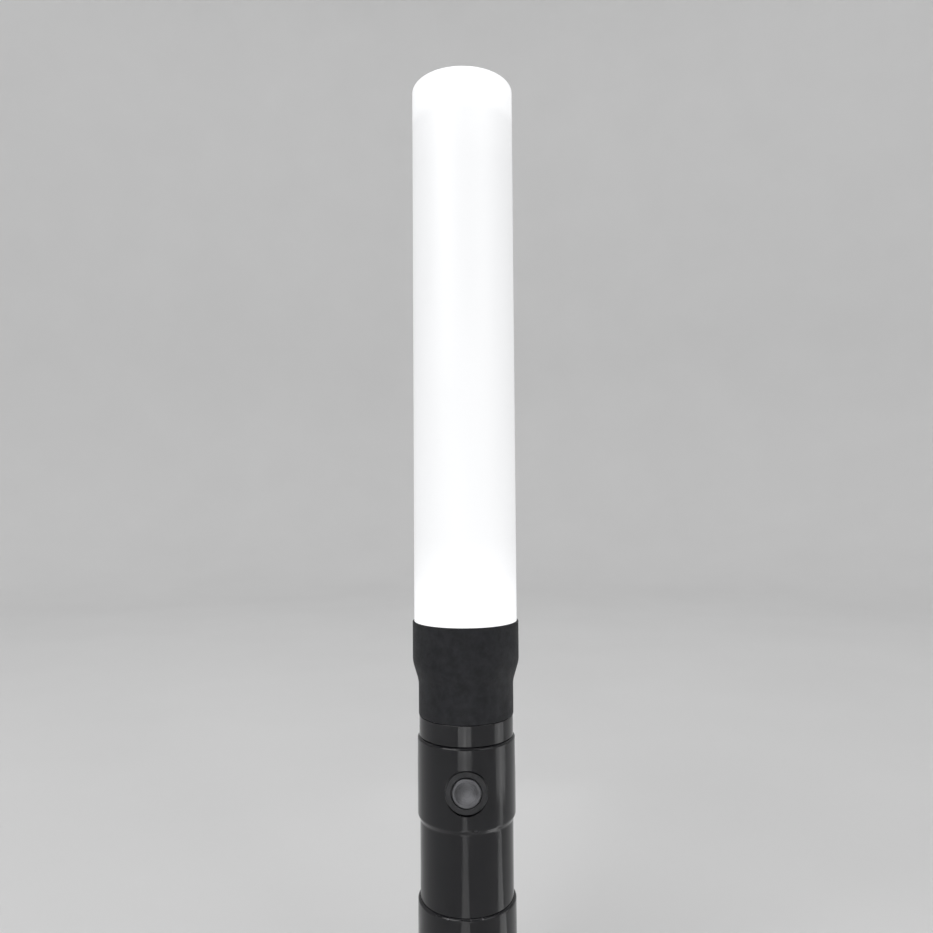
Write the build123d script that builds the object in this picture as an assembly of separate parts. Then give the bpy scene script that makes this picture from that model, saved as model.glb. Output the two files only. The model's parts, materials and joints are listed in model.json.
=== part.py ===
from build123d import *
import os

# Hand-held LED light tube, standing on its tail.
# Origin: centre of the tail face. +Z runs up the light, and the switch faces -Y.
# All sizes are in millimetres.

# ---- driving dimensions ----
TUBE_R = 15.0  # frosted tube
TUBE_LENGTH = 159.0  # lit length above the collar's rim, end cap included
HANDLE_LENGTH = 125.0  # tail face to the collar's rim

COLLAR_R = 15.5
COLLAR_LENGTH = 26.8
COLLAR_UPPER = 11.5  # straight length above the shoulder
SHOULDER_DROP = 5.7
NECK_COLLAR_R = 13.8  # collar below its shoulder

HEAD_RING_R = 13.7
HEAD_RING_LENGTH = 6.0
BODY_R = 14.2  # switch section and tail tube
GRIP_R = 13.5  # barrel between them
SWITCH_SECTION = 22.2
TAIL_TUBE_LENGTH = 46.5

CELL_R = 9.2  # 18650 cell, with its skin
CELL_LENGTH = 65.2
SCREW_PITCH = 1.5  # of the tail tube's thread, which opens over five turns

SLIP = 0.05  # radial clearance of parts that turn or slide in each other
FIXED = 0.02  # radial gap between parts that are glued or pressed together
EDGE = 0.3  # small broken edges
BIG_EDGE = 0.8  # rounded outer edges of the handle's pieces

# ---- heights that follow ----
RIM_Z = HANDLE_LENGTH
TOP_Z = RIM_Z + TUBE_LENGTH
COLLAR_Z = RIM_Z - COLLAR_LENGTH
SEAM_Z = COLLAR_Z - HEAD_RING_LENGTH
STEP_Z = SEAM_Z - SWITCH_SECTION

# ---- diffuser ----
TUBE_BORE_R = 12.8
TUBE_SPIGOT_R = 13.9
TUBE_SPIGOT_LENGTH = 12.0
CAP_FLANGE = 1.6
CAP_CROWN = 0.6
CAP_SKIRT = 9.4  # hollow skirt that plugs the tube
CAP_SKIRT_WALL = 1.8
CAP_EDGE = 1.2

# ---- head ----
NECK_R = 11.9
NECK_LENGTH = 13.0
HEAD_BORE_R = 10.2
HEAD_SPIGOT_R = 12.0
HEAD_SPIGOT_LENGTH = 5.8
RING_WIRE = 0.5  # radius of the section of the O-rings on the head
RING_GROOVE = 1.2  # width of their grooves
NECK_RING_HEIGHTS = (3.5, 8.5)  # above the neck's foot
HEAD_SEAL_Z = SEAM_Z - 2

# ---- light engine, stacked down from the neck's mouth ----
MOUTH_Z = COLLAR_Z + NECK_LENGTH
BEZEL_HEIGHT = 1.8
BEZEL_BORE_R = 9.0
LENS_R = 10.1
LENS_HEIGHT = 2.0
LENS_SEAL_R = 9.5
LENS_SEAL_WIRE = 0.5
REFLECTOR_HEIGHT = 6.9
REFLECTOR_THROAT_R = 2.7
REFLECTOR_MOUTH_R = 8.9
REFLECTOR_WALL = 0.7
GASKET_HEIGHT = 0.7
GASKET_R = 4.5
LED_SIZE = 3.45  # of its square package, which the gasket surrounds
LED_HEIGHT = 0.7
LED_DOME_R = 1.5
BOARD_HEIGHT = 1.6
LENS_Z = MOUTH_Z - BEZEL_HEIGHT - LENS_HEIGHT
REFLECTOR_TOP = LENS_Z - 2 * LENS_SEAL_WIRE
REFLECTOR_Z = REFLECTOR_TOP - REFLECTOR_HEIGHT
STAR_TOP = REFLECTOR_Z - GASKET_HEIGHT
STAR_Z = STAR_TOP - BOARD_HEIGHT
STAR_R = 8.0
SCREW_Y = 6.6  # of the two screws that hold the star board
SCREW_R = 0.95
SCREW_LENGTH = 2.2  # below the star board
SCREW_HEAD_R = 1.8
SCREW_HEAD_HEIGHT = 0.9
PILL_FLOOR = 3.0
PILL_Z = SEAM_Z - HEAD_SPIGOT_LENGTH + 0.2
PILL_BORE_R = 9.2
RETAINER_HEIGHT = 1.4
RETAINER_BORE_R = 8.0
DRIVER_Z = PILL_Z + RETAINER_HEIGHT
DRIVER_TOP = DRIVER_Z + BOARD_HEIGHT
WIRE_R = 0.5
WIRE_NOTCH_X = 7.3  # where the LED leads pass the star board
WIRE_PAD_X = 5.7
WIRE_BEND = 0.9

# ---- power, stacked up from the tail ----
TAIL_BOARD_Z = 11.2
SPRING_LENGTH = 5.0
TAIL_COIL_R = 4.4
TAIL_COIL_WIRE = 0.45
FRONT_COIL_R = 3.2
FRONT_COIL_WIRE = 0.35
CELL_Z = TAIL_BOARD_Z + BOARD_HEIGHT + SPRING_LENGTH
CELL_TOP = CELL_Z + CELL_LENGTH
CELL_NUB_R = 2.8
CELL_NUB_HEIGHT = 1.2
WRAP = 0.2
CAN_R = CELL_R - WRAP
CAN_TOP = CELL_TOP - CELL_NUB_HEIGHT
CAN_EDGE = 0.6
LINER_BORE_R = 9.6
BARREL_BORE_R = 10.5
JOINT_R = 11.9  # barrel's threaded foot
JOINT_LENGTH = 9.5
JOINT_Z = TAIL_TUBE_LENGTH - JOINT_LENGTH
GRIP_TOP = STEP_Z - 1.5  # the grip widens to the switch section above this
THREAD_DEPTH = 0.45
THREAD_LENGTH = 6.5
TAIL_BORE_R = 11.2
TAIL_RETAINER_BORE_R = 9.4
TAIL_SEAL_WIRE = 0.55
TAIL_SEAL_Z = TAIL_TUBE_LENGTH - 2.2
INSERT_R = 5.0
INSERT_LENGTH = 8.5
INSERT_BORE_R = 2.55  # tapping size of the 1/4"-20 thread

# ---- side switch, stacked inwards from the barrel's skin ----
SWITCH_Z = SEAM_Z - 12.2
FLAT_Y = -12.9
BEZEL_FACE_Y = -13.9
BEZEL_R = 5.9
BEZEL_SPIGOT_R = 5.2
BUTTON_R = 4.1
BUTTON_FLANGE_R = 4.7
BUTTON_CLEAR = 0.1
BUTTON_FACE_Y = -14.1
BUTTON_BACK_Y = -12.7
BUTTON_FLANGE = 0.4
BUTTON_DISH_R = 14.0
BUTTON_DISH_DEPTH = 0.4
STEM_R = 1.0
STEM_LENGTH = 0.95
TACT_SIZE = 4.5
TACT_FACE_Y = -12.35
SWITCH_BOARD_Y = -11.35
SWITCH_BOARD_BACK_Y = -10.55
SWITCH_BOARD_R = 4.6
LEAD_RISE = 0.9  # of the switch's leads above the cell's nub
LEAD_R = 0.4
LEAD_X = 1.3
LEAD_TURN_Y = -7.2  # where they turn up to the driver


# ---- helpers ----
def cylinder(radius, low, high):
    """A cylinder about Z between two heights."""
    return Pos(0, 0, low) * Cylinder(radius, high - low, align=(Align.CENTER, Align.CENTER, Align.MIN))


def ring(outer, inner, low, high):
    """A plain ring about Z between two heights."""
    return cylinder(outer, low, high) - cylinder(inner, low - 1, high + 1)


def turned(corners):
    """A solid turned about Z from (radius, height) corners."""
    outline = Polyline([(radius, 0, height) for radius, height in corners], close=True)
    return revolve(make_face(outline), Axis.Z)


def o_ring(centre_radius, wire_radius, height):
    return Pos(0, 0, height) * Torus(centre_radius, wire_radius)


def break_edges(solid, size, *places):
    """Rounds the circular edges that lie at the given (radius, height) places."""
    chosen = [
        edge
        for edge in solid.edges().filter_by(GeomType.CIRCLE)
        for radius, height in places
        if abs(edge.radius - radius) < 0.01 and abs(edge.arc_center.Z - height) < 0.01
    ]
    return fillet(chosen, size)


def front_disc(radius, back, face, height=SWITCH_Z):
    """A cylinder along Y at the switch, from its back plane to its front plane (both negative Y)."""
    disc = Cylinder(radius, back - face, align=(Align.CENTER, Align.CENTER, Align.MIN))
    return Pos(0, back, height) * Rot(90, 0, 0) * disc


def front_block(width, tall, back, face, height=SWITCH_Z):
    """A box at the switch, from its back plane to its front plane (both negative Y)."""
    return Pos(0, (back + face) / 2, height) * Box(width, back - face, tall)


def coil_spring(coil_radius, wire_radius, low, high, turns):
    """A round-wire compression spring whose wire stays between two heights."""
    rise = high - low - 2 * wire_radius
    path = Helix(rise / turns, rise, coil_radius)
    section = Plane(path @ 0, z_dir=path % 0) * Circle(wire_radius)
    return Pos(0, 0, low + wire_radius) * sweep(section, path=path)


def bent_wire(points, radius, bend):
    """A round wire through the points, with its corners bent to one radius."""
    path = FilletPolyline(*points, radius=bend)
    return sweep(Plane(path @ 0, z_dir=path % 0) * Circle(radius), path=path)


def thread_rings(radius, low, length, pitch, depth):
    """V-shaped rings cut round a shaft, which stand for its screw thread."""
    count = int(length / pitch)
    cutters = []
    for index in range(count):
        middle = low + pitch * (index + 0.5)
        outer = radius + depth
        corners = [(radius - depth, middle), (outer, middle - pitch / 2), (outer, middle + pitch / 2)]
        cutters.append(turned(corners))
    return cutters


def spanner_slots(across, low, high):
    """Two slots across a ring, for a pin spanner."""
    return Pos(0, 0, (low + high) / 2) * Box(2 * across, 1.4, high - low)


# ---- diffuser: pulls off the head's neck ----
def diffuser_tube():
    foot = RIM_Z - TUBE_SPIGOT_LENGTH
    joint = TOP_Z - CAP_FLANGE
    body = cylinder(TUBE_R, RIM_Z, joint) + cylinder(TUBE_SPIGOT_R, foot, RIM_Z)
    return body - cylinder(TUBE_BORE_R, foot - 1, joint + 1)


def end_cap():
    """A slightly crowned end with a hollow skirt."""
    joint = TOP_Z - CAP_FLANGE
    foot = joint - CAP_SKIRT
    shoulder = TOP_Z - CAP_CROWN
    rim = TUBE_R - CAP_EDGE
    skirt_r = TUBE_BORE_R - FIXED
    crown = ThreePointArc((0, 0, TOP_Z), (rim / 2, 0, TOP_Z - CAP_CROWN / 4), (rim, 0, shoulder))
    rest = Polyline(
        (rim, 0, shoulder),
        (TUBE_R, 0, shoulder),
        (TUBE_R, 0, joint),
        (skirt_r, 0, joint),
        (skirt_r, 0, foot),
        (skirt_r - CAP_SKIRT_WALL, 0, foot),
        (skirt_r - CAP_SKIRT_WALL, 0, joint),
        (0, 0, joint),
        (0, 0, TOP_Z),
    )
    cap = revolve(make_face(crown + rest), Axis.Z)
    cap = break_edges(cap, CAP_FLANGE - CAP_CROWN - 0.2, (TUBE_R, shoulder))
    return break_edges(cap, 0.5, (skirt_r, foot))


def collar():
    shoulder = RIM_Z - COLLAR_UPPER
    waist = shoulder - SHOULDER_DROP
    ledge = RIM_Z - TUBE_SPIGOT_LENGTH - 0.2
    sleeve_r = NECK_R + SLIP
    body = turned(
        [
            (sleeve_r, COLLAR_Z),
            (NECK_COLLAR_R, COLLAR_Z),
            (NECK_COLLAR_R, waist),
            (COLLAR_R, shoulder),
            (COLLAR_R, RIM_Z),
            (TUBE_SPIGOT_R + FIXED, RIM_Z),
            (TUBE_SPIGOT_R + FIXED, ledge),
            (sleeve_r, ledge),
        ]
    )
    body = break_edges(body, 8, (NECK_COLLAR_R, waist), (COLLAR_R, shoulder))
    return break_edges(body, EDGE, (NECK_COLLAR_R, COLLAR_Z), (COLLAR_R, RIM_Z))


# ---- head and light engine ----
def head():
    body = cylinder(HEAD_RING_R, SEAM_Z, COLLAR_Z)
    body = break_edges(body, EDGE, (HEAD_RING_R, SEAM_Z), (HEAD_RING_R, COLLAR_Z))
    body += cylinder(NECK_R, COLLAR_Z, MOUTH_Z)
    body += cylinder(HEAD_SPIGOT_R, SEAM_Z - HEAD_SPIGOT_LENGTH, SEAM_Z)
    body = break_edges(body, EDGE, (NECK_R, MOUTH_Z))
    groove = ring(NECK_R + 1, NECK_R - 2 * RING_WIRE, -RING_GROOVE / 2, RING_GROOVE / 2)
    for height in NECK_RING_HEIGHTS:
        body -= Pos(0, 0, COLLAR_Z + height) * groove
    seal_floor_r = HEAD_SPIGOT_R - 2 * RING_WIRE - SLIP
    seal_groove = ring(HEAD_SPIGOT_R + 1, seal_floor_r, -RING_GROOVE / 2, RING_GROOVE / 2)
    body -= Pos(0, 0, HEAD_SEAL_Z) * seal_groove
    return body - cylinder(HEAD_BORE_R, 0, TOP_Z)


def neck_rings():
    centre_r = NECK_R + SLIP - FIXED - RING_WIRE
    return [o_ring(centre_r, RING_WIRE, COLLAR_Z + height) for height in NECK_RING_HEIGHTS]


def head_seal():
    return o_ring(HEAD_SPIGOT_R - FIXED - RING_WIRE, RING_WIRE, HEAD_SEAL_Z)


def bezel_ring():
    low = MOUTH_Z - BEZEL_HEIGHT
    body = ring(HEAD_BORE_R, BEZEL_BORE_R, low, MOUTH_Z)
    body = break_edges(body, 2 * EDGE, (BEZEL_BORE_R, MOUTH_Z))
    return body - spanner_slots(HEAD_BORE_R + 1, MOUTH_Z - 0.8, MOUTH_Z + 1)


def lens():
    top = LENS_Z + LENS_HEIGHT
    return break_edges(cylinder(LENS_R, LENS_Z, top), 0.2, (LENS_R, top))


def lens_seal():
    return o_ring(LENS_SEAL_R, LENS_SEAL_WIRE, LENS_Z - LENS_SEAL_WIRE)


def bowl(throat_r, mouth_r):
    """A solid paraboloid between the reflector's base and top."""
    growth = (mouth_r**2 - throat_r**2) / REFLECTOR_HEIGHT
    steps = 6
    points = []
    for step in range(steps + 1):
        rise = REFLECTOR_HEIGHT * step / steps
        points.append(((throat_r**2 + growth * rise) ** 0.5, 0, REFLECTOR_Z + rise))
    wall = Spline(*points)
    rest = Polyline(points[-1], (0, 0, REFLECTOR_TOP), (0, 0, REFLECTOR_Z), points[0])
    return revolve(make_face(wall + rest), Axis.Z)


def reflector():
    flange = cylinder(HEAD_BORE_R - 0.2, REFLECTOR_TOP - 0.6, REFLECTOR_TOP)
    foot = cylinder(GASKET_R - 0.2, REFLECTOR_Z, REFLECTOR_Z + 0.8)
    outside = bowl(REFLECTOR_THROAT_R + 1.2, REFLECTOR_MOUTH_R + REFLECTOR_WALL)
    return outside + flange + foot - bowl(REFLECTOR_THROAT_R, REFLECTOR_MOUTH_R)


def led_gasket():
    opening = Pos(0, 0, STAR_TOP) * Box(LED_SIZE + 0.15, LED_SIZE + 0.15, 3 * GASKET_HEIGHT)
    return cylinder(GASKET_R, STAR_TOP, REFLECTOR_Z) - opening


def led_emitter():
    package = Pos(0, 0, STAR_TOP + LED_HEIGHT / 2) * Box(LED_SIZE, LED_SIZE, LED_HEIGHT)
    dome = Pos(0, 0, STAR_TOP + LED_HEIGHT) * Sphere(LED_DOME_R)
    return package + (dome - cylinder(2 * LED_DOME_R, STAR_TOP - LED_DOME_R, STAR_TOP + LED_HEIGHT))


def led_board():
    """A round star board with two lead notches along X and two screw notches along Y."""
    body = cylinder(STAR_R, STAR_Z, STAR_TOP)
    for side in (-1, 1):
        body -= Pos(side * WIRE_NOTCH_X, 0, 0) * cylinder(2 * WIRE_R, STAR_Z - 1, STAR_TOP + 1)
        body -= Pos(0, side * SCREW_Y, 0) * cylinder(SCREW_R + 0.15, STAR_Z - 1, STAR_TOP + 1)
    return body


def board_screws():
    """Two pan-head screws that clamp the star board at its notches."""
    screws = []
    for side in (-1, 1):
        head_top = STAR_TOP + SCREW_HEAD_HEIGHT
        shank = cylinder(SCREW_R, STAR_Z - SCREW_LENGTH, STAR_TOP)
        slot = Pos(0, 0, head_top) * Box(3 * SCREW_HEAD_R, 0.4, 0.7)
        screw = shank + cylinder(SCREW_HEAD_R, STAR_TOP, head_top) - slot
        screws.append(Pos(0, side * SCREW_Y, 0) * screw)
    return screws


def led_wires():
    """Two leads, up from the driver and in to the star board's pads."""
    lie = STAR_TOP + WIRE_R + SLIP
    route = [(WIRE_NOTCH_X, 0, DRIVER_TOP + SLIP), (WIRE_NOTCH_X, 0, lie), (WIRE_PAD_X, 0, lie)]
    lead = bent_wire(route, WIRE_R, WIRE_BEND)
    return [lead, Rot(0, 0, 180) * lead]


def pill():
    """The carrier: a thick floor under the star board and a skirt round the driver."""
    body = cylinder(HEAD_BORE_R, PILL_Z, STAR_Z) - cylinder(PILL_BORE_R, PILL_Z - 1, STAR_Z - PILL_FLOOR)
    for side in (-1, 1):
        body -= Pos(side * WIRE_NOTCH_X, 0, 0) * cylinder(WIRE_R + 0.4, PILL_Z, STAR_Z + 1)
        body -= Pos(0, side * SCREW_Y, 0) * cylinder(SCREW_R, STAR_Z - SCREW_LENGTH - 0.1, STAR_Z + 1)
    return body


def driver_board():
    """The driver, with its inductor, control chip, diode and six small chips on the upper side."""
    body = cylinder(PILL_BORE_R - SLIP, DRIVER_Z, DRIVER_TOP)
    inductor = Pos(0, 3.6, 0) * cylinder(2.4, DRIVER_TOP, DRIVER_TOP + 2.6)
    control_chip = Pos(-1.6, -2.6, DRIVER_TOP + 0.6) * Box(4.4, 3.4, 1.2)
    diode = Pos(3.4, -2.6, DRIVER_TOP + 0.5) * Box(2.2, 3.6, 1.0)
    body += inductor + control_chip + diode
    chip = Pos(6.9, 0, DRIVER_TOP + 0.3) * Box(1.0, 1.7, 0.6)
    for index in range(6):
        body += Rot(0, 0, 200 + 28 * index) * chip
    return body


def driver_retainer():
    body = ring(PILL_BORE_R, RETAINER_BORE_R, PILL_Z, DRIVER_Z)
    return body - spanner_slots(PILL_BORE_R + 1, PILL_Z - 1, PILL_Z + 0.6)


def front_spring():
    return coil_spring(FRONT_COIL_R, FRONT_COIL_WIRE, CELL_TOP, DRIVER_Z, 4)


# ---- barrel with its side switch ----
def switch_flat():
    """The milled flat round the button, with round ends."""
    half = BEZEL_R + 0.3
    depth = BODY_R + 5 + FLAT_Y
    return front_disc(half, FLAT_Y, FLAT_Y - depth) + front_block(2 * half, 4, FLAT_Y, FLAT_Y - depth)


def barrel():
    body = turned(
        [
            (0, JOINT_Z),
            (JOINT_R, JOINT_Z),
            (JOINT_R, TAIL_TUBE_LENGTH),
            (GRIP_R, TAIL_TUBE_LENGTH),
            (GRIP_R, GRIP_TOP),
            (BODY_R, STEP_Z),
            (BODY_R, SEAM_Z),
            (0, SEAM_Z),
        ]
    )
    body = break_edges(body, BIG_EDGE, (BODY_R, SEAM_Z))
    body = break_edges(body, 1.5 * BIG_EDGE, (GRIP_R, GRIP_TOP), (BODY_R, STEP_Z))
    body = break_edges(body, EDGE, (JOINT_R, JOINT_Z))
    for cutter in thread_rings(JOINT_R, JOINT_Z + 0.5, THREAD_LENGTH, SCREW_PITCH, THREAD_DEPTH):
        body -= cutter
    body -= cylinder(BARREL_BORE_R, 0, SEAM_Z + 1)
    body -= cylinder(HEAD_SPIGOT_R, SEAM_Z - HEAD_SPIGOT_LENGTH - 0.1, SEAM_Z + 1)
    body -= switch_flat()
    return body - front_disc(BEZEL_SPIGOT_R, 0, -20)


def cell_liner():
    """The insulating sleeve round the cell, with a window for the switch's leads."""
    body = ring(BARREL_BORE_R - FIXED, LINER_BORE_R, JOINT_Z, SEAM_Z - HEAD_SPIGOT_LENGTH - 0.2)
    lead_window = Pos(0, -LINER_BORE_R, CELL_TOP + LEAD_RISE) * Box(5, 4, 1.8)
    return body - lead_window


def switch_bezel():
    """A ring on the flat, with a spigot in the hole and a lip that keeps the button in."""
    lip_back = BUTTON_BACK_Y - BUTTON_FLANGE - SLIP
    body = front_disc(BEZEL_R, FLAT_Y, BEZEL_FACE_Y) + front_disc(BEZEL_SPIGOT_R, FLAT_Y + 0.6, FLAT_Y)
    body -= front_disc(BUTTON_R + BUTTON_CLEAR, FLAT_Y + 1, BEZEL_FACE_Y - 1)
    body -= front_disc(BUTTON_FLANGE_R + BUTTON_CLEAR, FLAT_Y + 1, lip_back)
    face = body.edges().filter_by(GeomType.CIRCLE).group_by(Axis.Y)[0]
    return fillet(face, 0.25)


def switch_button():
    """A round cap with a retaining flange and a shallow dish for the fingertip."""
    body = front_disc(BUTTON_R, BUTTON_BACK_Y, BUTTON_FACE_Y)
    body = fillet(body.edges().filter_by(GeomType.CIRCLE).group_by(Axis.Y)[0], 0.35)
    body += front_disc(BUTTON_FLANGE_R, BUTTON_BACK_Y, BUTTON_BACK_Y - BUTTON_FLANGE)
    dish = Pos(0, BUTTON_FACE_Y - BUTTON_DISH_R + BUTTON_DISH_DEPTH, SWITCH_Z) * Sphere(BUTTON_DISH_R)
    return body - dish


def tact_stem():
    return front_disc(STEM_R, BUTTON_BACK_Y + STEM_LENGTH, BUTTON_BACK_Y)


def tact_switch():
    """The low square switch body, with a hole for its stem and four solder tabs."""
    body = front_block(TACT_SIZE, TACT_SIZE, SWITCH_BOARD_Y, TACT_FACE_Y)
    for side_x in (-1, 1):
        for side_z in (-1, 1):
            tab = Pos(side_x * 2.6, SWITCH_BOARD_Y - 0.1, SWITCH_Z + side_z * 1.5) * Box(0.9, 0.2, 0.7)
            body += tab
    return body - front_disc(STEM_R + SLIP, 0, -20)


def switch_board():
    return front_disc(SWITCH_BOARD_R, SWITCH_BOARD_BACK_Y, SWITCH_BOARD_Y)


def switch_wires():
    """Two leads from the back of the switch board, through the liner's window, up to the driver."""
    back = SWITCH_BOARD_BACK_Y + SLIP
    lie = CELL_TOP + LEAD_RISE
    route = [(0, back, lie), (0, LEAD_TURN_Y, lie), (0, LEAD_TURN_Y, DRIVER_Z - SLIP)]
    lead = bent_wire(route, LEAD_R, WIRE_BEND)
    return [Pos(x, 0, 0) * lead for x in (-LEAD_X, LEAD_X)]


# ---- cell: follows its springs when the tail tube is unscrewed ----
def battery_cell():
    """A steel can with a rolled groove under its crimped top, and the positive nub."""
    body = break_edges(cylinder(CAN_R, CELL_Z, CAN_TOP), CAN_EDGE, (CAN_R, CELL_Z), (CAN_R, CAN_TOP))
    body -= Pos(0, 0, CAN_TOP - 3) * Torus(CAN_R + 0.35, 0.7)
    body -= ring(6.2, CELL_NUB_R + 1.2, CAN_TOP - 0.6, CAN_TOP + 1)
    return body + cylinder(CELL_NUB_R, CAN_TOP, CELL_TOP)


def cell_wrap():
    """The shrunk skin, folded over both edges of the can."""
    foot = CELL_Z - WRAP
    top = CAN_TOP + WRAP
    body = break_edges(cylinder(CELL_R, foot, top), CAN_EDGE + 0.1, (CELL_R, foot), (CELL_R, top))
    can = break_edges(cylinder(CAN_R, CELL_Z, CAN_TOP), CAN_EDGE, (CAN_R, CELL_Z), (CAN_R, CAN_TOP))
    return body - can - cylinder(CAN_R - 1.6, 0, TOP_Z)


# ---- tail tube: unscrews from the barrel ----
def tail_tube():
    socket_r = JOINT_R + SLIP
    seat = JOINT_Z - 0.3
    body = cylinder(BODY_R, 0, TAIL_TUBE_LENGTH)
    body = break_edges(body, BIG_EDGE, (BODY_R, TAIL_TUBE_LENGTH))
    body = break_edges(body, 1.0, (BODY_R, 0))
    body -= cylinder(socket_r, seat, TAIL_TUBE_LENGTH + 1)
    body -= cylinder(TAIL_BORE_R, TAIL_BOARD_Z, seat + 1)
    groove_r = socket_r + 2 * TAIL_SEAL_WIRE + SLIP
    groove_half = TAIL_SEAL_WIRE + 0.1
    body -= Pos(0, 0, TAIL_SEAL_Z) * ring(groove_r, JOINT_R - 1, -groove_half, groove_half)
    return body - cylinder(INSERT_R, -1, INSERT_LENGTH)


def tail_seal():
    return o_ring(JOINT_R + SLIP + TAIL_SEAL_WIRE, TAIL_SEAL_WIRE, TAIL_SEAL_Z)


def tail_board():
    return cylinder(TAIL_BORE_R - 2 * SLIP, TAIL_BOARD_Z, TAIL_BOARD_Z + BOARD_HEIGHT)


def tail_retainer():
    low = TAIL_BOARD_Z + BOARD_HEIGHT
    body = ring(TAIL_BORE_R, TAIL_RETAINER_BORE_R, low, low + RETAINER_HEIGHT)
    return body - spanner_slots(TAIL_BORE_R + 1, low + 0.7, low + 3)


def tail_spring():
    return coil_spring(TAIL_COIL_R, TAIL_COIL_WIRE, TAIL_BOARD_Z + BOARD_HEIGHT, CELL_Z, 3.5)


def tripod_insert():
    """A plain-bored brass insert, with two rows of grip flutes round its outside."""
    body = ring(INSERT_R, INSERT_BORE_R, 0, INSERT_LENGTH)
    flutes = 16
    for index in range(flutes):
        turn = 360 * index / flutes
        for low in (1.2, 5.0):
            body -= Rot(0, 0, turn) * Pos(INSERT_R + 0.15, 0, 0) * cylinder(0.4, low, low + 2.4)
    return break_edges(body, 0.4, (INSERT_BORE_R, 0))


PIECES = {
    "diffuser_tube": diffuser_tube,
    "end_cap": end_cap,
    "collar": collar,
    "head": head,
    "neck_rings": neck_rings,
    "head_seal": head_seal,
    "bezel_ring": bezel_ring,
    "lens": lens,
    "lens_seal": lens_seal,
    "reflector": reflector,
    "led_gasket": led_gasket,
    "led_emitter": led_emitter,
    "led_board": led_board,
    "board_screws": board_screws,
    "led_wires": led_wires,
    "pill": pill,
    "driver_board": driver_board,
    "driver_retainer": driver_retainer,
    "front_spring": front_spring,
    "barrel": barrel,
    "cell_liner": cell_liner,
    "switch_bezel": switch_bezel,
    "switch_button": switch_button,
    "tact_stem": tact_stem,
    "tact_switch": tact_switch,
    "switch_board": switch_board,
    "switch_wires": switch_wires,
    "battery_cell": battery_cell,
    "cell_wrap": cell_wrap,
    "tail_tube": tail_tube,
    "tail_seal": tail_seal,
    "tail_board": tail_board,
    "tail_retainer": tail_retainer,
    "tail_spring": tail_spring,
    "tripod_insert": tripod_insert,
}

os.makedirs("parts", exist_ok=True)
for name, make in PIECES.items():
    piece = make()
    if isinstance(piece, list):
        piece = Compound(children=piece)
    export_step(piece, f"parts/{name}.step")
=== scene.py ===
import json
import math

import bmesh
import bpy
from mathutils import Matrix, Vector


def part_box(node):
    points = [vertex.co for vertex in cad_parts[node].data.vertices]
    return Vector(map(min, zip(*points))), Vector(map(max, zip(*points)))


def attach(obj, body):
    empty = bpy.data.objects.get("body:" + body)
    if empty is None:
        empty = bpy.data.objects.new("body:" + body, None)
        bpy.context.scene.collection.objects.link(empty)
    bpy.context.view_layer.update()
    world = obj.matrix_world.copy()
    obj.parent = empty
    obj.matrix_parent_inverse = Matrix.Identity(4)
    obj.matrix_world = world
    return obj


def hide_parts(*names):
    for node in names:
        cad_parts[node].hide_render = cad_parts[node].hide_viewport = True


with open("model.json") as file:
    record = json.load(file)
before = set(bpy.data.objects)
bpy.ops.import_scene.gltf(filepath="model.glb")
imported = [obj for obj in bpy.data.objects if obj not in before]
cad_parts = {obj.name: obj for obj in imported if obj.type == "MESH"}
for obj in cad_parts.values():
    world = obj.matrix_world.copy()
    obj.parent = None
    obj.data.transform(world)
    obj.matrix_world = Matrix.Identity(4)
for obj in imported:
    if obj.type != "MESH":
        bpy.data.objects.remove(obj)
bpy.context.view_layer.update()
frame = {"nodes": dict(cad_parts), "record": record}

MM = 0.001

# ---- the lit opal plastic ----
COAT_TINT = 0.66  # how much light its coat lets through where it is seen head on
FULL_GLOW = 1.2  # the brightest of the glows below

# ---- places read from the frame, in metres ----
TUBE_LOW, TUBE_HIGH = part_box("diffuser_tube")
CAP_LOW, CAP_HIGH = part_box("end_cap")
COLLAR_LOW, COLLAR_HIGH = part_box("collar")
BUTTON_LOW, BUTTON_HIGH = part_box("switch_button")
INSERT_LOW, INSERT_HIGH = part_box("tripod_insert")
TAIL_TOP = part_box("tail_tube")[1].z
SEAM_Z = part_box("barrel")[1].z
SWITCH_FOOT = SEAM_Z - 22.2 * MM  # the step under the button
RIM_Z = COLLAR_HIGH.z
TUBE_R = TUBE_HIGH.x
BUTTON_Z = (BUTTON_LOW.z + BUTTON_HIGH.z) / 2

# ---- camera: distance, rise above the collar's rim and shift aside, then degrees, and lens in mm ----
CAMERA_DISTANCE = 15.0 * TUBE_R
CAMERA_RISE = 2.35 * TUBE_R
CAMERA_SIDE = 0.04 * TUBE_R
CAMERA_PITCH = 2.5
CAMERA_ROLL = -0.4
CAMERA_LENS = 29.3

# ---- soft boxes: name, place, target, width, height and power ----
MIDDLE = (0, 0, 0.14)
SOFT_BOXES = (
    ("key", (-0.8, -0.9, 0.95), MIDDLE, 0.9, 0.9, 7),
    ("fill", (0.95, -0.8, 0.8), MIDDLE, 0.8, 0.8, 2.5),
    ("back", (0, 0.6, 2.0), (0, 0, 0.1), 1.2, 0.6, 5),
    ("top", (0, 0, 2.3), (0, 0, 0), 1.4, 1.4, 6),
)
SKY_COLOUR = (0.55, 0.56, 0.58, 1)
SKY_STRENGTH = 1.2

# ---- low reflecting panels: name, direction in degrees, distance, width and power ----
PANEL_Z, PANEL_TARGET, PANEL_HEIGHT = 0.05, (0, 0, 0.06), 0.09
STRIP_NEAR, STRIP_FAR, STRIP_WIDTH, STRIP_RADIANCE = 0.04, 0.34, 0.03, 1.0
LOW_PANELS = (
    ("front", -93.8, 0.24, 0.13, 0.05),
    ("right", -5.7, 0.2, 0.1, 0.03),
    ("rear", 88, 0.22, 0.12, 0.04),
)


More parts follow.
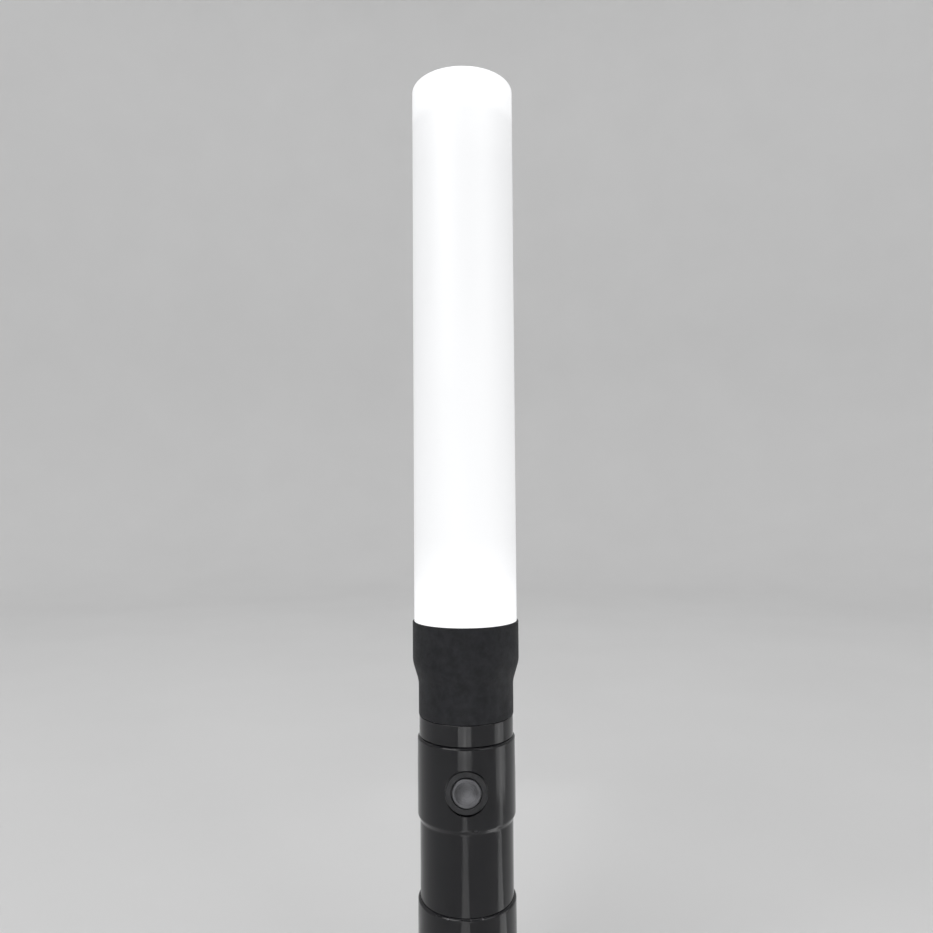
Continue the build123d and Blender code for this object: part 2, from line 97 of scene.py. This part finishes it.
# ---- node helpers ----
def place(tree, kind, **sockets):
    """Adds a node. A socket given another node's output is linked, and any other value is set."""
    node = tree.nodes.new(kind)
    for name, value in sockets.items():
        connect(tree, node, name.replace("_", " "), value)
    return node


def connect(tree, node, name, value):
    socket = next(s for s in node.inputs if s.name.lower() == name.lower() and s.enabled)
    if isinstance(value, bpy.types.NodeSocket):
        tree.links.new(value, socket)
    else:
        socket.default_value = value


def object_place(tree):
    return place(tree, "ShaderNodeTexCoord").outputs["Object"]


def stretched(tree, vector, scale):
    node = place(tree, "ShaderNodeMapping", Vector=vector)
    node.inputs["Scale"].default_value = scale
    return node.outputs["Vector"]


def noise(tree, vector, scale, detail=3.0, roughness=0.5, distortion=0.0):
    return place(
        tree,
        "ShaderNodeTexNoise",
        Vector=vector,
        Scale=scale,
        Detail=detail,
        Roughness=roughness,
        Distortion=distortion,
    ).outputs["Fac"]


def ramp(tree, factor, *stops):
    """A colour ramp through (position, colour) stops."""
    node = place(tree, "ShaderNodeValToRGB", Fac=factor)
    elements = node.color_ramp.elements
    while len(elements) < len(stops):
        elements.new(0.5)
    for element, (position, colour) in zip(elements, stops):
        element.position = position
        element.color = (*colour, 1.0)
    return node.outputs["Color"]


def between(tree, factor, first, second, low=0.3, high=0.7):
    """The first colour up to the low factor, the second from the high one, and a blend between them."""
    return ramp(tree, factor, (low, first), (high, second))


def spread(tree, value, low, high, new_low=0.0, new_high=1.0):
    """Maps a value from one range to another, and clamps it."""
    node = place(tree, "ShaderNodeMapRange", Value=value)
    for name, number in (("From Min", low), ("From Max", high), ("To Min", new_low), ("To Max", new_high)):
        node.inputs[name].default_value = number
    return node.outputs["Result"]


def combine(tree, operation, first, second):
    node = tree.nodes.new("ShaderNodeMath")
    node.operation = operation
    for socket, value in zip(node.inputs, (first, second)):
        if isinstance(value, bpy.types.NodeSocket):
            tree.links.new(value, socket)
        else:
            socket.default_value = value
    return node.outputs["Value"]


def bump(tree, height, depth, normal=None):
    """A bump whose full height is the given depth in metres."""
    node = place(tree, "ShaderNodeBump", Height=height, Distance=depth, Strength=1.0)
    if normal is not None:
        tree.links.new(normal, node.inputs["Normal"])
    return node.outputs["Normal"]


def material(name, **sockets):
    """A material with one Principled shader. Returns it with its node tree and shader."""
    made = bpy.data.materials.new(name)
    made.use_nodes = True
    tree = made.node_tree
    shader = tree.nodes["Principled BSDF"]
    for socket, value in sockets.items():
        connect(tree, shader, socket.replace("_", " "), value)
    return made, tree, shader


def shades(colour, change):
    """A darker and a lighter shade of one colour."""
    return tuple(c * (1 - change) for c in colour), tuple(min(1.0, c * (1 + change)) for c in colour)


# ---- materials ----
def opal(name, heights):
    """Frosted plastic lit from inside. heights are (z, glow) pairs up the light, with no glow over FULL_GLOW.
    The coat's tint dims the glow towards the tube's sides, where it is seen through more of the coat."""
    made, tree, shader = material(
        name,
        Roughness=0.5,
        Specular_IOR_Level=0.2,
        Coat_Weight=1.0,
        Coat_Roughness=0.45,
        Coat_IOR=1.6,
        Coat_Tint=(COAT_TINT, COAT_TINT, COAT_TINT, 1.0),
        Emission_Strength=FULL_GLOW / COAT_TINT,
    )
    where = object_place(tree)
    z = place(tree, "ShaderNodeSeparateXYZ", Vector=where).outputs["Z"]
    bottom, top = heights[0][0], heights[-1][0]
    along = spread(tree, z, bottom, top)
    stops = []
    for height, glow in heights:
        share = glow / FULL_GLOW
        stops.append(((height - bottom) / (top - bottom), (0.985 * share, 0.99 * share, share)))
    glow = ramp(tree, along, *stops)
    cloud = noise(tree, stretched(tree, where, (1, 1, 0.3)), 60, 2)
    dim = spread(tree, cloud, 0.3, 0.7, 0.985, 1.0)
    mixed = place(tree, "ShaderNodeMix")
    mixed.data_type = "RGBA"
    mixed.blend_type = "MULTIPLY"
    mixed.inputs["Factor"].default_value = 1.0
    tree.links.new(glow, mixed.inputs[6])
    tree.links.new(dim, mixed.inputs[7])
    tree.links.new(mixed.outputs[2], shader.inputs["Emission Color"])
    connect(tree, shader, "Base Color", between(tree, cloud, (0.14, 0.145, 0.15), (0.17, 0.175, 0.18)))
    grain = noise(tree, where, 9000, 2)
    connect(tree, shader, "Normal", bump(tree, grain, 0.01 * MM))
    return made


def wear(tree, where, edges, width):
    """A mask of small chips and rubbed spots along the edges at the given heights."""
    z = place(tree, "ShaderNodeSeparateXYZ", Vector=where).outputs["Z"]
    low, high = edges[0] - 3 * width, edges[-1] + 3 * width
    black, white = (0, 0, 0), (1, 1, 1)
    stops = []
    for edge in edges:
        for shift, colour in ((-width, black), (0, white), (width, black)):
            stops.append(((edge + shift - low) / (high - low), colour))
    band = ramp(tree, spread(tree, z, low, high), *stops)
    chips = spread(tree, noise(tree, where, 900, 5, 0.6), 0.6, 0.7)
    return combine(tree, "MULTIPLY", band, chips)


def blend_colour(tree, mask, first, second):
    """The first colour where the mask is 0 and the second where it is 1."""
    mixed = place(tree, "ShaderNodeMix")
    mixed.data_type = "RGBA"
    tree.links.new(mask, mixed.inputs["Factor"])
    for socket, value in ((mixed.inputs[6], first), (mixed.inputs[7], second)):
        if isinstance(value, bpy.types.NodeSocket):
            tree.links.new(value, socket)
        else:
            socket.default_value = (*value, 1.0)
    return mixed.outputs[2]


def textured_black(name, colour, grain_size, grain_depth, gloss_low, gloss_high, edges=(), width=0.3 * MM):
    """Moulded or blasted black: fine grain, faint clouds, shinier handled patches, and rubbed edges."""
    made, tree, shader = material(name, Specular_IOR_Level=0.25)
    where = object_place(tree)
    dark, light = shades(colour, 0.35)
    cloud = noise(tree, where, 420, 6, 0.65)
    shade = between(tree, cloud, dark, light, 0.35, 0.65)
    grain = noise(tree, where, 1 / grain_size, 3, 0.6)
    patches = noise(tree, stretched(tree, where, (1, 1, 0.6)), 120, 5, 0.6, 0.6)
    handled = spread(tree, patches, 0.48, 0.68, 0.0, 0.16)
    roughness = combine(tree, "SUBTRACT", spread(tree, grain, 0.35, 0.65, gloss_low, gloss_high), handled)
    if edges:
        rubbed = wear(tree, where, edges, width)
        shade = blend_colour(tree, rubbed, shade, tuple(3 * c for c in colour))
        roughness = combine(tree, "SUBTRACT", roughness, combine(tree, "MULTIPLY", rubbed, 0.2))
    connect(tree, shader, "Base Color", shade)
    connect(tree, shader, "Roughness", roughness)
    connect(tree, shader, "Normal", bump(tree, grain, grain_depth))
    return made


def gloss_black(name, edges):
    """Polished black anodising: faint lathe lines, smudges, hair scratches, and bare metal at worn edges."""
    made, tree, shader = material(name, Specular_IOR_Level=0.4)
    where = object_place(tree)
    cloud = noise(tree, where, 140, 4)
    black = between(tree, cloud, (0.0045, 0.0045, 0.006), (0.008, 0.008, 0.010))
    worn = wear(tree, where, edges, 0.25 * MM)
    connect(tree, shader, "Base Color", blend_colour(tree, worn, black, (0.2, 0.2, 0.21)))
    connect(tree, shader, "Metallic", combine(tree, "MULTIPLY", worn, 0.8))
    smudge = noise(tree, stretched(tree, where, (1, 1, 0.55)), 130, 6, 0.62, 0.9)
    lathe = noise(tree, stretched(tree, where, (20, 20, 9000)), 1, 2)
    gloss = spread(tree, smudge, 0.44, 0.68, 0.05, 0.24)
    rough = combine(tree, "ADD", gloss, combine(tree, "MULTIPLY", lathe, 0.03))
    connect(tree, shader, "Roughness", combine(tree, "ADD", rough, combine(tree, "MULTIPLY", worn, 0.22)))
    scratch = spread(tree, noise(tree, stretched(tree, where, (300, 300, 7000)), 1, 1), 0.72, 0.78)
    dent = combine(tree, "SUBTRACT", combine(tree, "SUBTRACT", lathe, scratch), worn)
    connect(tree, shader, "Normal", bump(tree, dent, 0.0008 * MM))
    return made


def turned_metal(name, colour, roughness, axis, ring_size=0.12 * MM, middle=(0, 0, 0)):
    """Metal with lathe rings round an axis through a middle point, and a little tarnish."""
    made, tree, shader = material(name, Metallic=1.0)
    where = object_place(tree)
    moved = place(tree, "ShaderNodeMapping", Vector=where)
    moved.inputs["Location"].default_value = tuple(-c for c in middle)
    flat = {"Z": (1, 1, 0), "Y": (1, 0, 1)}[axis]
    across = stretched(tree, moved.outputs["Vector"], flat)
    distance = place(tree, "ShaderNodeVectorMath", Vector=across)
    distance.operation = "LENGTH"
    tarnish = noise(tree, where, 300, 2)
    ring = combine(tree, "DIVIDE", distance.outputs["Value"], ring_size)
    groove = noise(tree, place(tree, "ShaderNodeCombineXYZ", X=ring).outputs["Vector"], 1.0, 2)
    dark, light = shades(colour, 0.16)
    connect(tree, shader, "Base Color", between(tree, tarnish, dark, light))
    connect(tree, shader, "Roughness", spread(tree, groove, 0.3, 0.7, roughness * 0.75, roughness * 1.3))
    connect(tree, shader, "Normal", bump(tree, groove, 0.004 * MM))
    return made


def plain_moulding(name, colour, roughness, **sockets):
    """A small moulded part: faint colour cloud, fine grain and uneven gloss."""
    made, tree, shader = material(name, **sockets)
    where = object_place(tree)
    dark, light = shades(colour, 0.12)
    connect(tree, shader, "Base Color", between(tree, noise(tree, where, 250, 3), dark, light))
    grain = noise(tree, where, 5000, 3)
    connect(tree, shader, "Roughness", spread(tree, grain, 0.3, 0.7, roughness * 0.85, roughness * 1.15))
    connect(tree, shader, "Normal", bump(tree, grain, 0.006 * MM))
    return made


def rubber(name):
    """Dull black rubber with a little dust."""
    made, tree, shader = material(name, Sheen_Weight=0.15)
    where = object_place(tree)
    dust = noise(tree, where, 900, 4)
    shade = between(tree, dust, (0.012, 0.012, 0.012), (0.035, 0.034, 0.033), 0.35, 0.75)
    connect(tree, shader, "Base Color", shade)
    connect(tree, shader, "Roughness", spread(tree, dust, 0.3, 0.7, 0.45, 0.7))
    connect(tree, shader, "Normal", bump(tree, noise(tree, where, 4000, 2), 0.01 * MM))
    return made


def lens_glass(name):
    """Clear glass with a faint coating, a few dust specks and polishing haze."""
    made, tree, shader = material(name, Transmission_Weight=1.0, IOR=1.52, Specular_IOR_Level=0.35)
    where = object_place(tree)
    haze = noise(tree, where, 350, 4)
    connect(tree, shader, "Roughness", spread(tree, haze, 0.5, 0.8, 0.0, 0.06))
    connect(tree, shader, "Base Color", between(tree, haze, (0.93, 0.97, 0.98), (0.97, 0.99, 1.0), 0.2, 0.8))
    return made


def mirror(name):
    """Vacuum metallised plastic, with the faint orange peel of its lacquer."""
    made, tree, shader = material(name, Metallic=1.0)
    where = object_place(tree)
    peel = noise(tree, where, 1200, 2)
    silver = between(tree, noise(tree, where, 200), (0.84, 0.85, 0.87), (0.9, 0.9, 0.91))
    connect(tree, shader, "Base Color", silver)
    connect(tree, shader, "Roughness", spread(tree, peel, 0.3, 0.7, 0.03, 0.09))
    connect(tree, shader, "Normal", bump(tree, peel, 0.003 * MM))
    return made


def circuit_board(name, mask, track, pitch):
    """Solder mask over faintly raised tracks."""
    made, tree, shader = material(name, Coat_Weight=0.4, Coat_Roughness=0.2)
    where = object_place(tree)
    cells = place(tree, "ShaderNodeTexVoronoi", Vector=where, Scale=1 / pitch)
    cells.feature = "DISTANCE_TO_EDGE"
    cells.distance = "EUCLIDEAN"
    line = spread(tree, cells.outputs["Distance"], 0.06, 0.1)
    connect(tree, shader, "Base Color", between(tree, line, track, mask, 0.0, 1.0))
    connect(tree, shader, "Roughness", spread(tree, noise(tree, where, 3000), 0.3, 0.7, 0.3, 0.45))
    connect(tree, shader, "Normal", bump(tree, combine(tree, "SUBTRACT", 1.0, line), 0.03 * MM))
    return made


def phosphor(name):
    """The LED's yellow phosphor under its clear dome, lit."""
    made, tree, shader = material(name, Roughness=0.2, Coat_Weight=0.6, Emission_Strength=2.5)
    where = object_place(tree)
    grain = noise(tree, where, 6000, 2)
    connect(tree, shader, "Base Color", between(tree, grain, (0.85, 0.62, 0.08), (0.95, 0.76, 0.16)))
    connect(tree, shader, "Emission Color", between(tree, grain, (1.0, 0.9, 0.66), (1.0, 0.97, 0.86)))
    connect(tree, shader, "Normal", bump(tree, grain, 0.008 * MM))
    return made


def cell_film(name, colour):
    """Shrunk film over a cell: a soft gloss with slight ripples along the can."""
    made, tree, shader = material(name, Coat_Weight=0.7, Coat_Roughness=0.12)
    where = object_place(tree)
    ripple = noise(tree, stretched(tree, where, (1, 1, 0.25)), 500, 3)
    dark, light = shades(colour, 0.15)
    connect(tree, shader, "Base Color", between(tree, ripple, dark, light))
    connect(tree, shader, "Roughness", spread(tree, ripple, 0.3, 0.7, 0.25, 0.4))
    connect(tree, shader, "Normal", bump(tree, ripple, 0.05 * MM))
    return made


def studio_floor():
    """Pale matt paint that is see-through from its back."""
    made, tree, shader = material("studio_floor", Specular_IOR_Level=0.2)
    where = object_place(tree)
    cloud = noise(tree, where, 8, 3)
    connect(tree, shader, "Base Color", between(tree, cloud, (0.77, 0.77, 0.77), (0.79, 0.79, 0.79)))
    connect(tree, shader, "Roughness", spread(tree, cloud, 0.3, 0.7, 0.75, 0.85))
    see_through = tree.nodes.new("ShaderNodeBsdfTransparent")
    sides = tree.nodes.new("ShaderNodeMixShader")
    tree.links.new(tree.nodes.new("ShaderNodeNewGeometry").outputs["Backfacing"], sides.inputs["Fac"])
    tree.links.new(shader.outputs["BSDF"], sides.inputs[1])
    tree.links.new(see_through.outputs["BSDF"], sides.inputs[2])
    tree.links.new(sides.outputs["Shader"], tree.nodes["Material Output"].inputs["Surface"])
    return made


def paint(materials_by_slot):
    """Gives each CAD node the material of its slot in the record."""
    for part in frame["record"]["subparts"]:
        mesh = frame["nodes"][part["node"]].data
        mesh.materials.clear()
        mesh.materials.append(materials_by_slot[part["material_slot"]])


def all_materials():
    """Every material, by the record's slot."""
    tube_foot, tube_top, plug = TUBE_LOW.z, TUBE_HIGH.z, CAP_LOW.z
    collar_edges = (COLLAR_LOW.z, RIM_Z)
    handle_edges = (
        0.4 * MM,
        TAIL_TOP - 0.3 * MM,
        SWITCH_FOOT,
        SEAM_Z - 0.2 * MM,
        SEAM_Z + 0.3 * MM,
        COLLAR_LOW.z,
    )
    button_middle = (0, 0, BUTTON_Z)
    return {
        "opal_tube": opal(
            "opal_tube",
            [
                (tube_foot, 1.2),
                (RIM_Z + 9 * MM, 1.14),
                (RIM_Z + 14 * MM, 1.03),
                (RIM_Z + 24 * MM, 0.95),
                (RIM_Z + 60 * MM, 0.92),
                (plug - 15 * MM, 0.92),
                (plug - 1.5 * MM, 0.955),
                (plug + 1.5 * MM, 1.08),
                (tube_top, 1.16),
            ],
        ),
        "opal_cap": opal("opal_cap", [(plug, 1.08), (CAP_HIGH.z, 1.18)]),
        "matte_black": textured_black(
            "matte_black", (0.014, 0.0145, 0.017), 0.22 * MM, 0.02 * MM, 0.5, 0.68, collar_edges, 0.5 * MM
        ),
        "satin_black": textured_black("satin_black", (0.02, 0.02, 0.022), 0.08 * MM, 0.003 * MM, 0.28, 0.4),
        "gloss_black": gloss_black("gloss_black", handle_edges),
        "button_metal": turned_metal("button_metal", (0.09, 0.09, 0.095), 0.3, "Y", 0.1 * MM, button_middle),
        "black_rubber": rubber("black_rubber"),
        "lens_glass": lens_glass("lens_glass"),
        "reflector_mirror": mirror("reflector_mirror"),
        "white_plastic": plain_moulding("white_plastic", (0.8, 0.8, 0.77), 0.5),
        "led_phosphor": phosphor("led_phosphor"),
        "white_board": circuit_board("white_board", (0.82, 0.82, 0.8), (0.74, 0.74, 0.7), 2.4 * MM),
        "steel_screw": turned_metal("steel_screw", (0.62, 0.62, 0.63), 0.3, "Z"),
        "lead_red": plain_moulding("lead_red", (0.55, 0.04, 0.03), 0.42),
        "lead_black": plain_moulding("lead_black", (0.03, 0.03, 0.03), 0.42),
        "brass": turned_metal("brass", (0.78, 0.58, 0.27), 0.26, "Z"),
        "green_board": circuit_board("green_board", (0.015, 0.16, 0.05), (0.03, 0.24, 0.08), 1.6 * MM),
        "spring_steel": turned_metal("spring_steel", (0.85, 0.72, 0.42), 0.22, "Z", 0.05 * MM),
        "stem_plastic": plain_moulding("stem_plastic", (0.66, 0.62, 0.5), 0.4),
        "switch_plastic": plain_moulding("switch_plastic", (0.05, 0.05, 0.05), 0.45),
        "cell_can": turned_metal("cell_can", (0.72, 0.71, 0.69), 0.24, "Z"),
        "cell_skin": cell_film("cell_skin", (0.03, 0.2, 0.26)),
    }


# ---- pieces ----
def mesh_piece(name, work):
    """A piece from a bmesh, shaded smooth except at its sharp edges."""
    bmesh.ops.recalc_face_normals(work, faces=work.faces)
    mesh = bpy.data.meshes.new(name)
    work.to_mesh(mesh)
    work.free()
    for polygon in mesh.polygons:
        polygon.use_smooth = True
    mesh.set_sharp_from_angle(angle=math.radians(35))
    piece = bpy.data.objects.new(name, mesh)
    bpy.context.collection.objects.link(piece)
    return piece


def turned_rows(work, rows, columns):
    """Joins rows of a turned surface. Each row is a function of the turn that gives (radius, height)."""
    rings = []
    for row in rows:
        ring = []
        for column in range(columns):
            turn = math.tau * column / columns
            radius, height = row(turn)
            ring.append(work.verts.new((radius * math.cos(turn), radius * math.sin(turn), height)))
        rings.append(ring)
    for ring, following in zip(rings, rings[1:]):
        for column in range(columns):
            beside = (column + 1) % columns
            work.faces.new((ring[column], ring[beside], following[beside], following[column]))
    return rings


def threaded_insert(finish):
    """The brass insert with a real internal thread, 20 turns to the inch, cut from the tapping size."""
    bore, groove, pitch = 2.55 * MM, 3.12 * MM, 1.27 * MM
    outer, low, high = INSERT_HIGH.x, INSERT_LOW.z, INSERT_HIGH.z
    lead_in, mouth = 0.5 * MM, 0.3 * MM
    flat = 0.12  # the share of the pitch left at the bore's size
    steps, columns = 96, 64

    def thread(height):
        def row(turn):
            phase = (height / pitch - turn / math.tau) % 1.0
            cut = max(0.0, 1.0 - abs(phase - 0.5) * 2 - flat) / (1.0 - flat)
            return bore + (groove - bore) * cut, height

        return row

    def plain(radius, height):
        return lambda turn: (radius, height)

    rows = [plain(outer, high), plain(outer, low), plain(groove + mouth, low), plain(groove, low + lead_in)]
    for step in range(steps + 1):
        rows.append(thread(low + lead_in + (high - low - lead_in) * step / steps))
    rows.append(plain(outer, high))
    work = bmesh.new()
    turned_rows(work, rows, columns)
    bmesh.ops.remove_doubles(work, verts=work.verts, dist=1e-6)
    piece = mesh_piece("insert_thread", work)
    piece.data.materials.append(finish)
    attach(piece, "tail_tube")
    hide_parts("tripod_insert")


# ---- stage ----
def build_stage():
    """A pale floor that curves up into a round wall and a dome, so that every view has a plain backdrop.
    It lies just under the tail's face and can be seen through from below. A hole that the tail hides lets
    the sky light the tail's underside."""
    hole_r = 0.9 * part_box("tail_tube")[1].x
    flat_r, bend, wall_top, dome, drop = 1.1, 0.5, 1.8, 1.2, 0.2 * MM
    wall_r = flat_r + bend
    arc_steps, columns = 12, 96
    profile = [(hole_r, 0.0), (flat_r, 0.0)]
    for step in range(1, arc_steps + 1):
        turn = math.tau / 4 * step / arc_steps
        profile.append((flat_r + bend * math.sin(turn), bend * (1 - math.cos(turn))))
    for step in range(arc_steps + 1):
        turn = math.tau / 4 * step / arc_steps
        profile.append((wall_r * math.cos(turn), wall_top + dome * math.sin(turn)))
    mesh = bpy.data.meshes.new("stage")
    work = bmesh.new()
    line = [work.verts.new((x, 0, z - drop)) for x, z in profile]
    edges = [work.edges.new(pair) for pair in zip(line, line[1:])]
    bmesh.ops.spin(work, geom=line + edges, cent=(0, 0, 0), axis=(0, 0, 1), angle=math.tau, steps=columns)
    bmesh.ops.remove_doubles(work, verts=work.verts, dist=1e-5)
    for face in work.faces:
        face.normal_update()
        if face.normal.dot(Vector((0, 0, 1)) - face.calc_center_median() * 0.5) < 0:
            face.normal_flip()
        face.smooth = True
    work.to_mesh(mesh)
    work.free()
    floor = bpy.data.objects.new("stage", mesh)
    bpy.context.collection.objects.link(floor)
    mesh.materials.append(studio_floor())


def softbox(name, position, target, width, height, power, lights_surfaces=True):
    """An area light that isn't seen itself. Without lights_surfaces it only shows in reflections."""
    light = bpy.data.lights.new(name, "AREA")
    light.shape = "RECTANGLE"
    light.size = width
    light.size_y = height
    light.energy = power
    box = bpy.data.objects.new(name, light)
    box.location = position
    aim = Vector(target) - Vector(position)
    box.rotation_euler = aim.to_track_quat("-Z", "Y").to_euler()
    box.visible_camera = False
    box.visible_diffuse = lights_surfaces
    bpy.context.collection.objects.link(box)
    return box


def floor_strip(name, turn):
    """A narrow panel that lies on the floor and points away from the light. It only shows in reflections."""
    length, middle = STRIP_FAR - STRIP_NEAR, (STRIP_NEAR + STRIP_FAR) / 2
    power = STRIP_RADIANCE * math.pi * length * STRIP_WIDTH
    spot = (middle * math.cos(turn), middle * math.sin(turn), 1 * MM)
    strip = softbox(name, spot, (0, 0, 1), length, STRIP_WIDTH, power, False)
    strip.rotation_euler = (math.pi, 0, turn)


def build_lights():
    """Large soft boxes, and low panels close by, whose reflections shape the gloss handle from every side."""
    for soft_box in SOFT_BOXES:
        softbox(*soft_box)
    for name, turn, distance, width, power in LOW_PANELS:
        angle = math.radians(turn)
        spot = (distance * math.cos(angle), distance * math.sin(angle), PANEL_Z)
        softbox("low_" + name, spot, PANEL_TARGET, width, PANEL_HEIGHT, power, False)
        floor_strip("floor_" + name, angle)
    world = bpy.data.worlds.new("studio")
    world.use_nodes = True
    sky = world.node_tree.nodes["Background"]
    sky.inputs["Color"].default_value = SKY_COLOUR
    sky.inputs["Strength"].default_value = SKY_STRENGTH
    bpy.context.scene.world = world
    bpy.context.scene.view_settings.view_transform = "Standard"


def build_camera():
    data = bpy.data.cameras.new("camera")
    data.lens = CAMERA_LENS
    camera = bpy.data.objects.new("camera", data)
    spot = Matrix.Translation((CAMERA_SIDE, -CAMERA_DISTANCE, RIM_Z + CAMERA_RISE))
    pitch = Matrix.Rotation(math.radians(90 + CAMERA_PITCH), 4, "X")
    roll = Matrix.Rotation(math.radians(CAMERA_ROLL), 4, "Z")
    camera.matrix_world = spot @ pitch @ roll
    bpy.context.collection.objects.link(camera)
    bpy.context.scene.camera = camera


finishes = all_materials()
paint(finishes)
threaded_insert(finishes["brass"])
build_stage()
build_lights()
build_camera()
